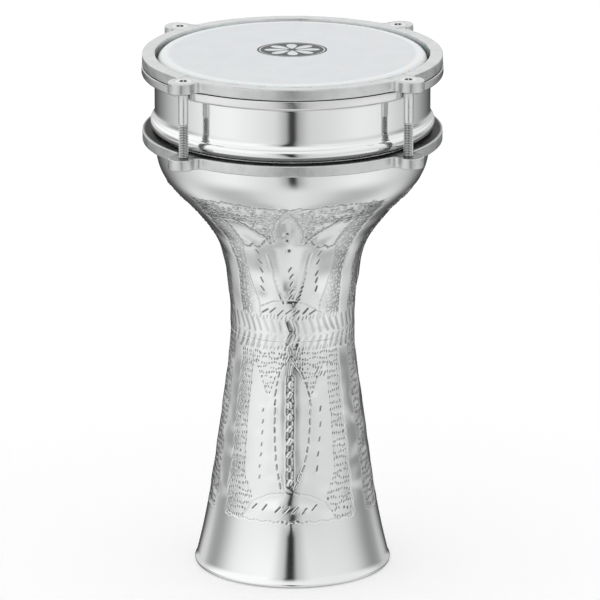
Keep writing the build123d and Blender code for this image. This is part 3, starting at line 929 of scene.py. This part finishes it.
def screwShade(points):
    # Painted shade in the valleys of the thread, and in the socket
    radius, depth = np.hypot(*points.T[:2]) / mm, screw["top"] - points[:, 2] / mm
    inThread = np.clip((screw["threadTop"] - points[:, 2] / mm) / 1.5, 0, 1)
    inSocket = (depth > 0.1) & (depth < 2.8) & (radius < 2.6)
    return np.maximum(0.7 * inThread * np.clip((screw["radius"] - 0.1 - radius) / 0.4, 0, 1), inSocket)


screwPoints, screwFaces = screwMesh()
for name, heading in screw["places"].items():
    turn, body = math.radians(heading), "tension_screw_" + name
    points = screwPoints + np.array([math.cos(turn), math.sin(turn), 0]) * castRing["screwCircle"] * mm
    piece = meshPiece(body + "_steel", points, screwFaces)
    piece.data.set_sharp_from_angle(angle=math.radians(50))
    setPaintedShade(piece.data, screwShade(screwPoints))
    addPiece(piece, screwMetal, body, "screw_steel", body)
print("screws made")

bpy.data.objects["drumhead_resin_ring"].data.materials.clear()
bpy.data.objects["drumhead_resin_ring"].data.materials.append(resin)

# A round white tent. Its walls are greys by degrees from the front, at three heights; the only dark
# things that the metal sees are the gap at the front, where one looks in, and the unlit corners
# behind and low down.
studio = {
    "ground": [(0, "F0F0F0"), (35, "E0E0E0"), (60, "BEBEBE"), (90, "C0C0C0"), (110, "E0E0E0"),
               (132, "F0F0F0"), (147, "BEBEBE"), (160, "6C6C6C"), (180, "404040")],
    "low": [(0, "D7D7D7"), (20, "E4E4E4"), (45, "FAFAFA"), (60, "FFFFFF"), (80, "F6F6F6"), (100, "DCDCDC"),
            (118, "CCCCCC"), (135, "A0A0A0"), (155, "5A5A5A"), (170, "464646")],
    "level": [(0, "D8D8D8"), (15, "E4E4E4"), (45, "F2F2F2"), (70, "EEEEEE"), (85, "DADADA"),
              (100, "A6A6A6"), (112, "989898"), (124, "AEAEAE"), (132, "D4D4D4"), (150, "D8D8D8"),
              (180, "C4C4C4")],
    "above": 1.02, "zenith": 0.62,
    "gap": "2A2B2D", "gapAngle": -3.6, "gapLean": -6.3, "gapHalf": (3.8, 15.5), "gapHalo": 0.46,
    # between two heights in degrees, or two places across, a value goes from the third to the fourth
    "fades": {"toLow": (-48, -24, 0, 1), "toLevel": (-15, -9, 0, 1), "toAbove": (-4, 13, 0, 1),
              "toZenith": (45, 75, 0, 1), "gapFoot": (-40, -20, 0, 1), "gapTop": (12, 30, 1, 0),
              "gapWidth": (-10, 14, 1, 0.5), "leftBrighter": (-20, -8, 0.02, 0.1),
              "leftAlike": (20, 40, 1, 0), "across": (-0.6, 0.6, -1, 1)},
}


def lightTent():
    world = bpy.data.worlds.new("white light tent")
    bpy.context.scene.world = world
    world.use_nodes = True
    tree = world.node_tree
    tree.nodes.clear()
    look = addNode(tree, "ShaderNodeTexCoord").outputs["Generated"]
    axes = addNode(tree, "ShaderNodeSeparateXYZ", {"Vector": look}).outputs
    toFront = addNode(tree, "ShaderNodeMath", {0: axes["Y"], 1: -1.0}, operation="MULTIPLY")
    around = addNode(tree, "ShaderNodeMath", {0: axes["X"], 1: toFront}, operation="ARCTAN2")
    upward = addNode(tree, "ShaderNodeMath", {0: axes["Z"]}, operation="ARCSINE")
    heading, rise = (addNode(tree, "ShaderNodeMath", {0: angle}, operation="DEGREES")
                     for angle in (around, upward))
    fade = {}
    for name, (start, end, before, after) in studio["fades"].items():
        fade[name] = addNode(tree, "ShaderNodeMapRange", {
            "Value": axes["X"] if name == "across" else rise, "From Min": start, "From Max": end,
            "To Min": before, "To Max": after}, interpolation_type="SMOOTHSTEP")

    # The walls, and the roof over them
    eitherWay = addNode(tree, "ShaderNodeMath", {0: heading}, operation="ABSOLUTE")
    halfTurn = addNode(tree, "ShaderNodeMath", {0: eitherWay, 1: 180.0}, operation="DIVIDE")
    layers = {}
    for name in ("ground", "low", "level"):
        layers[name] = addNode(tree, "ShaderNodeValToRGB", {"Fac": halfTurn},
                               [(angle / 180, code) for angle, code in studio[name]])
        layers[name].color_ramp.interpolation = "B_SPLINE"
    for name in ("above", "zenith"):
        layers[name] = [studio[name]] * 3 + [1]
    tent = layers["low"]
    for factor, below, over in (("toLevel", None, "level"), ("toLow", "ground", None),
                                ("toAbove", None, "above"), ("toZenith", None, "zenith")):
        tent = addNode(tree, "ShaderNodeMix", {"Factor": fade[factor], "A": layers.get(below, tent),
                                               "B": layers.get(over, tent)}, data_type="RGBA")

    # The left side is a little brighter than the right
    uneven = addNode(tree, "ShaderNodeMath", {0: fade["leftBrighter"], 1: fade["leftAlike"]},
                     operation="MULTIPLY")
    dimmer = addNode(tree, "ShaderNodeMath", {0: uneven, 1: fade["across"]}, operation="MULTIPLY")
    side = addNode(tree, "ShaderNodeMath", {0: 1.0, 1: dimmer}, operation="SUBTRACT")
    tent = addNode(tree, "ShaderNodeVectorMath", {0: tent, "Scale": side}, operation="SCALE")

    # The gap leans, narrows upward, and has a dark core in a softer halo
    leaning = addNode(tree, "ShaderNodeMath", {0: axes["Z"], 1: studio["gapLean"], 2: studio["gapAngle"]},
                      operation="MULTIPLY_ADD")
    offset = addNode(tree, "ShaderNodeMath", {0: heading, 1: leaning}, operation="SUBTRACT")
    aside = addNode(tree, "ShaderNodeMath", {0: offset}, operation="ABSOLUTE")
    off = addNode(tree, "ShaderNodeMath", {0: aside, 1: fade["gapWidth"]}, operation="MULTIPLY")
    gap = 0.0
    core, reach = studio["gapHalf"]
    for start, end, dark in ((0.35 * core, 1.4 * core, 1 - studio["gapHalo"]),
                             (0.5 * core, reach, studio["gapHalo"])):
        part = addNode(tree, "ShaderNodeMapRange", {
            "Value": off, "From Min": start, "From Max": end, "To Min": dark, "To Max": 0.0},
            interpolation_type="SMOOTHSTEP")
        gap = addNode(tree, "ShaderNodeMath", {0: gap, 1: part}, operation="ADD")
    for end in ("gapFoot", "gapTop"):
        gap = addNode(tree, "ShaderNodeMath", {0: gap, 1: fade[end]}, operation="MULTIPLY")
    tent = addNode(tree, "ShaderNodeMix", {"Factor": gap, "A": tent, "B": fromHex(studio["gap"])},
                   data_type="RGBA")
    seen = addNode(tree, "ShaderNodeLightPath").outputs["Is Camera Ray"]
    plain = addNode(tree, "ShaderNodeMix", {"Factor": seen, "A": tent, "B": (1, 1, 1, 1)}, data_type="RGBA")
    background = addNode(tree, "ShaderNodeBackground", {"Color": plain, "Strength": 1.0})
    addNode(tree, "ShaderNodeOutputWorld", {"Surface": background})


lightTent()
bpy.context.scene.view_settings.view_transform = "Standard"
print("light tent made")

paper = {"size": 3.0, "top": -0.0002, "fibre": 0.01 / 3, "lift": 0.14}  # metres


# Matt white paper: almost no gloss, lifted a little so that it stays white
def paleFloor():
    material, tree, shader = newMaterial("matt white paper", "FCFCFC", {
        "Roughness": 0.95, "Emission Strength": paper["lift"], "Emission Color": (1, 1, 1, 1)})
    fibres = addNode(tree, "ShaderNodeTexNoise", {"Scale": paper["size"] / paper["fibre"], "Detail": 2.0})
    tint = addNode(tree, "ShaderNodeValToRGB", {"Fac": fibres}, [(0.3, "FAFAFA"), (0.7, "FEFEFE")])
    plugIn(shader, {"Base Color": tint})
    half, top = paper["size"] / 2, paper["top"]
    corners = [(x * half, y * half, top) for x, y in ((-1, -1), (1, -1), (1, 1), (-1, 1))]
    floor = meshPiece("paper_floor", corners, [(0, 1, 2, 3)])
    bpy.context.collection.objects.link(floor)
    floor.data.materials.append(material)
    floor.visible_glossy = False  # the metal sees the tent's floor instead


paleFloor()

view = {"azimuth": -1.8, "rise": 16.55, "distance": 3.933, "aimHeight": 163.6 * mm, "lens": 391,
        "sensor": 36, "shift": 0.0125, "farthest": 20}


def placeCamera():
    data = bpy.data.cameras.new("camera")
    data.lens, data.sensor_width, data.shift_x = view["lens"], view["sensor"], view["shift"]
    data.clip_end = view["farthest"]
    camera = bpy.data.objects.new("camera", data)
    bpy.context.collection.objects.link(camera)
    around, up = math.radians(view["azimuth"]), math.radians(view["rise"])
    away = Vector((math.sin(around) * math.cos(up), -math.cos(around) * math.cos(up), math.sin(up)))
    camera.location = Vector((0, 0, view["aimHeight"])) + away * view["distance"]
    camera.rotation_euler = away.to_track_quat("Z", "Y").to_euler()
    bpy.context.scene.camera = camera


placeCamera()
print("camera placed")
